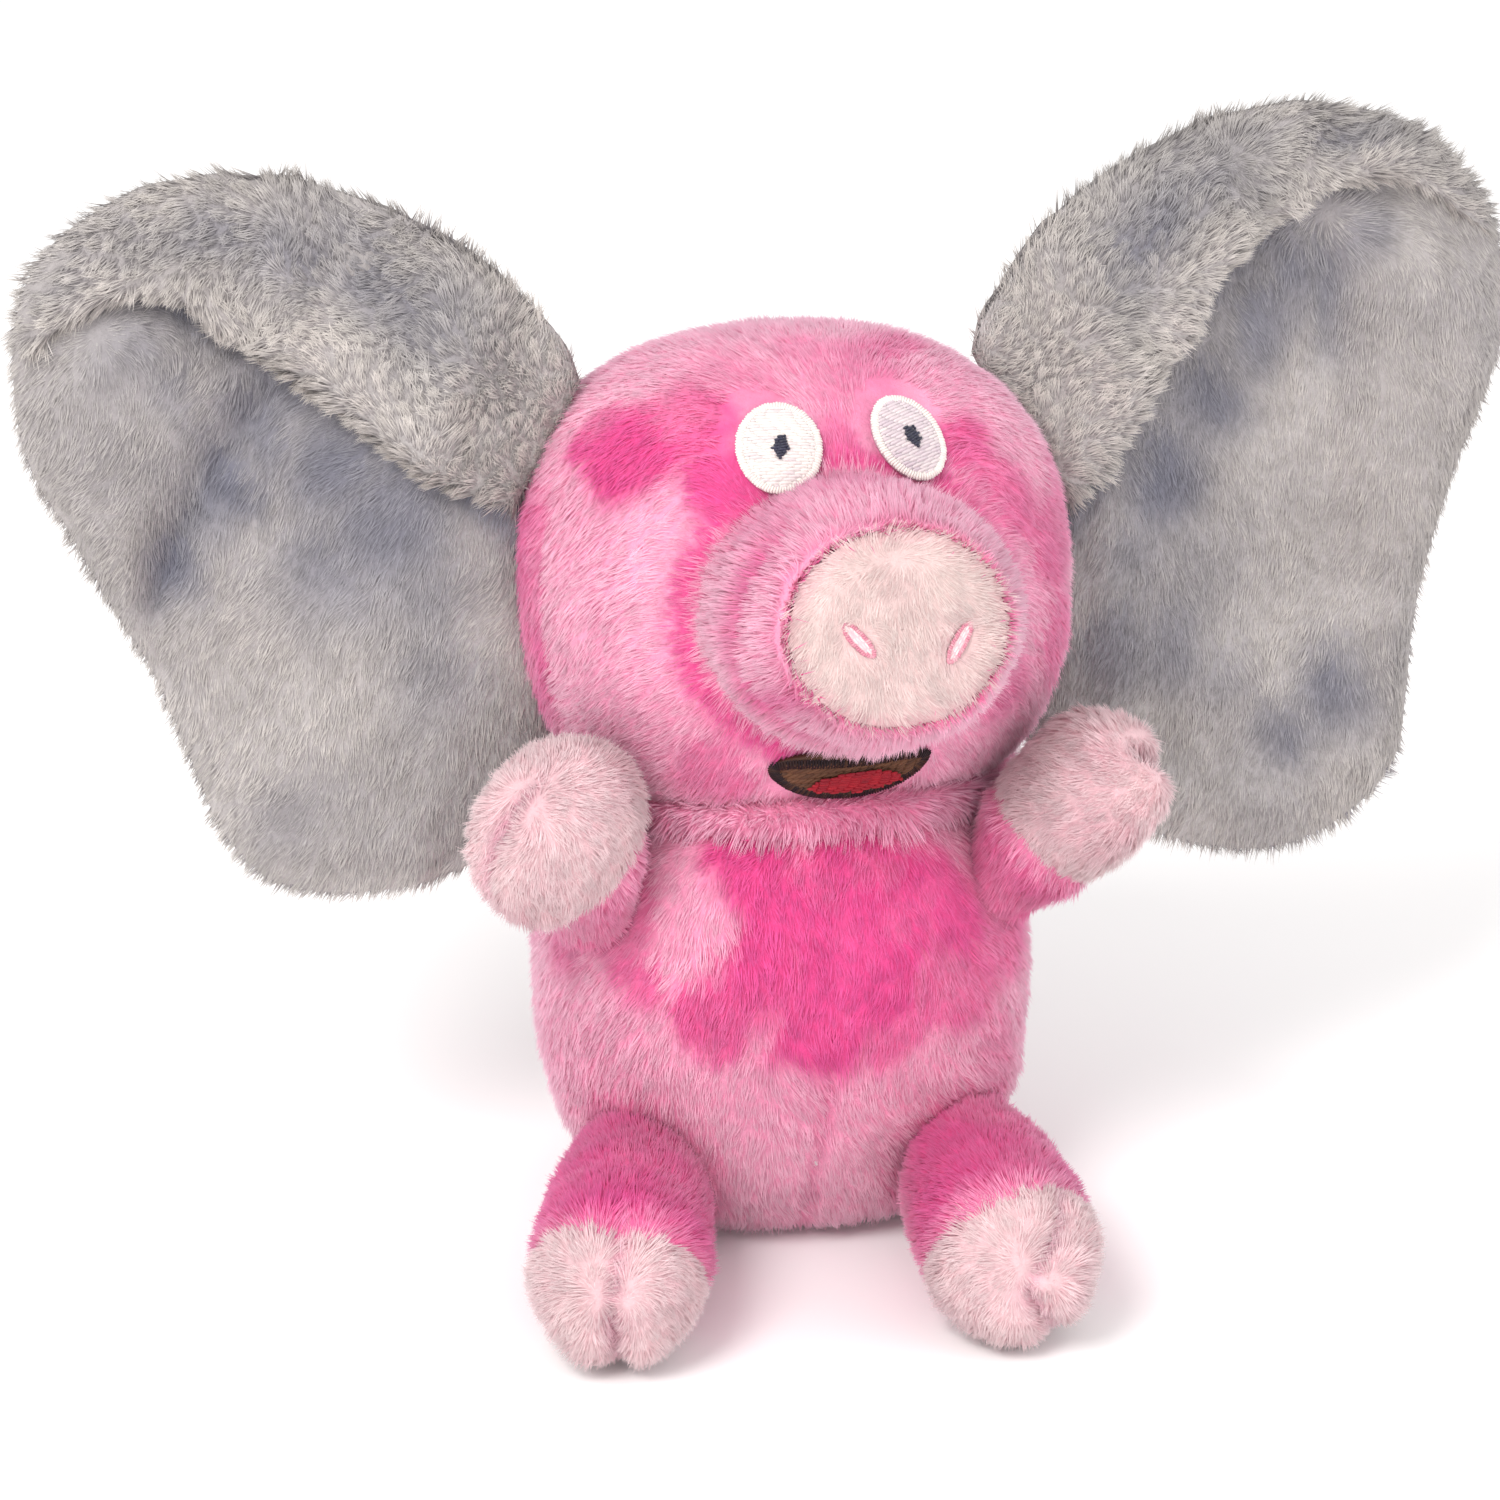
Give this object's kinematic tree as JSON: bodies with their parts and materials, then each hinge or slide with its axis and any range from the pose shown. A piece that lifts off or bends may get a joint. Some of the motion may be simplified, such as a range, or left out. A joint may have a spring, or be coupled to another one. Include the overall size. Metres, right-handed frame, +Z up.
{
  "type": "stuffed elephant",
  "caption": "Short-pile plush animal with huge soft ears, round snout, embroidered face and stub limbs, sitting on a flat weighted base",
  "frame": {"origin": "middle of the flat underside of the body, on the surface the animal sits on", "axes": "+X to the animal's own left, along its ear span; -Y the way it faces; +Z up"},
  "size_m": [0.2372, 0.1181, 0.1666],
  "materials": {
    "pink_plush": "short brushed pile, pink, blotched",
    "pale_plush": "short brushed pile, very pale pink",
    "grey_plush": "short brushed pile, warm and cool grey",
    "stuffing": "white polyester fibre",
    "pouch_cloth": "plain woven pouch with pellets",
    "cream_thread": "satin embroidery thread, cream",
    "navy_thread": "satin embroidery thread, dark navy",
    "rose_thread": "satin embroidery thread, rose",
    "brown_thread": "satin embroidery thread, dark brown",
    "red_thread": "satin embroidery thread, deep red"
  },
  "bodies": {
    "torso": {"body_cover": "pink_plush", "body_fill": "stuffing", "bean_bag": "pouch_cloth"},
    "neck": {"neck_fill": "stuffing"},
    "head": {"head_cover": "pink_plush", "head_fill": "stuffing", "snout_gusset": "pink_plush", "snout_pad": "pale_plush", "snout_fill": "stuffing", "eye_left": "cream_thread", "eye_right": "cream_thread", "pupil_left": "navy_thread", "pupil_right": "navy_thread", "nostril_left": "rose_thread", "nostril_right": "rose_thread", "mouth_patch": "brown_thread", "tongue_patch": "red_thread"},
    "ear_left": {"ear_left_front": "grey_plush", "ear_left_back": "grey_plush", "ear_left_wadding": "stuffing", "ear_left_fold": "grey_plush", "ear_left_seam": "grey_plush"},
    "arm_left": {"arm_left_cover": "pink_plush", "hand_left_cover": "pale_plush", "arm_left_fill": "stuffing"},
    "leg_left": {"leg_left_cover": "pink_plush", "foot_left_cover": "pale_plush", "leg_left_fill": "stuffing"},
    "ear_right": {"ear_right_front": "grey_plush", "ear_right_back": "grey_plush", "ear_right_wadding": "stuffing", "ear_right_fold": "grey_plush", "ear_right_seam": "grey_plush"},
    "arm_right": {"arm_right_cover": "pink_plush", "hand_right_cover": "pale_plush", "arm_right_fill": "stuffing"},
    "leg_right": {"leg_right_cover": "pink_plush", "foot_right_cover": "pale_plush", "leg_right_fill": "stuffing"}
  },
  "joints": [
    {"name": "head_turn", "type": "hinge", "parent": "torso", "child": "neck", "pos_m": [0.0026, 0.003, 0.0665], "axis": [-0.0191, 0.1553, 0.9877], "range_deg": [-18, 18], "stiffness_Nm_per_rad": 0.25},
    {"name": "head_nod", "type": "hinge", "parent": "neck", "child": "head", "pos_m": [0.0026, 0.003, 0.0665], "axis": [0.9925, 0.1219, 0], "range_deg": [-5, 5], "stiffness_Nm_per_rad": 0.9},
    {"name": "ear_left_flap", "type": "hinge", "parent": "head", "child": "ear_left", "pos_m": [0.04427, 0.01725, 0.10455], "axis": [0.1333, -0.1402, -0.9811], "range_deg": [-40, 15], "stiffness_Nm_per_rad": 0.12},
    {"name": "ear_right_flap", "type": "hinge", "parent": "head", "child": "ear_right", "pos_m": [-0.04128, 0.00674, 0.10455], "axis": [0.0954, 0.1683, 0.9811], "range_deg": [-40, 15], "stiffness_Nm_per_rad": 0.12},
    {"name": "arm_left_swing", "type": "hinge", "parent": "torso", "child": "arm_left", "pos_m": [0.0335, -0.018, 0.058], "axis": [-0.6084, -0.7936, 0], "range_deg": [-25, 6], "stiffness_Nm_per_rad": 0.05},
    {"name": "arm_right_swing", "type": "hinge", "parent": "torso", "child": "arm_right", "pos_m": [-0.0328, -0.0208, 0.058], "axis": [-0.8779, 0.4789, 0], "range_deg": [-25, 6], "stiffness_Nm_per_rad": 0.05},
    {"name": "leg_left_swing", "type": "hinge", "parent": "torso", "child": "leg_left", "pos_m": [0.0256, -0.0245, 0.0139], "axis": [-0.9999, -0.01, 0], "range_deg": [-20, 12], "stiffness_Nm_per_rad": 0.08},
    {"name": "leg_right_swing", "type": "hinge", "parent": "torso", "child": "leg_right", "pos_m": [-0.026, -0.0245, 0.0139], "axis": [-0.9798, 0.2, 0], "range_deg": [-20, 12], "stiffness_Nm_per_rad": 0.08}
  ]
}
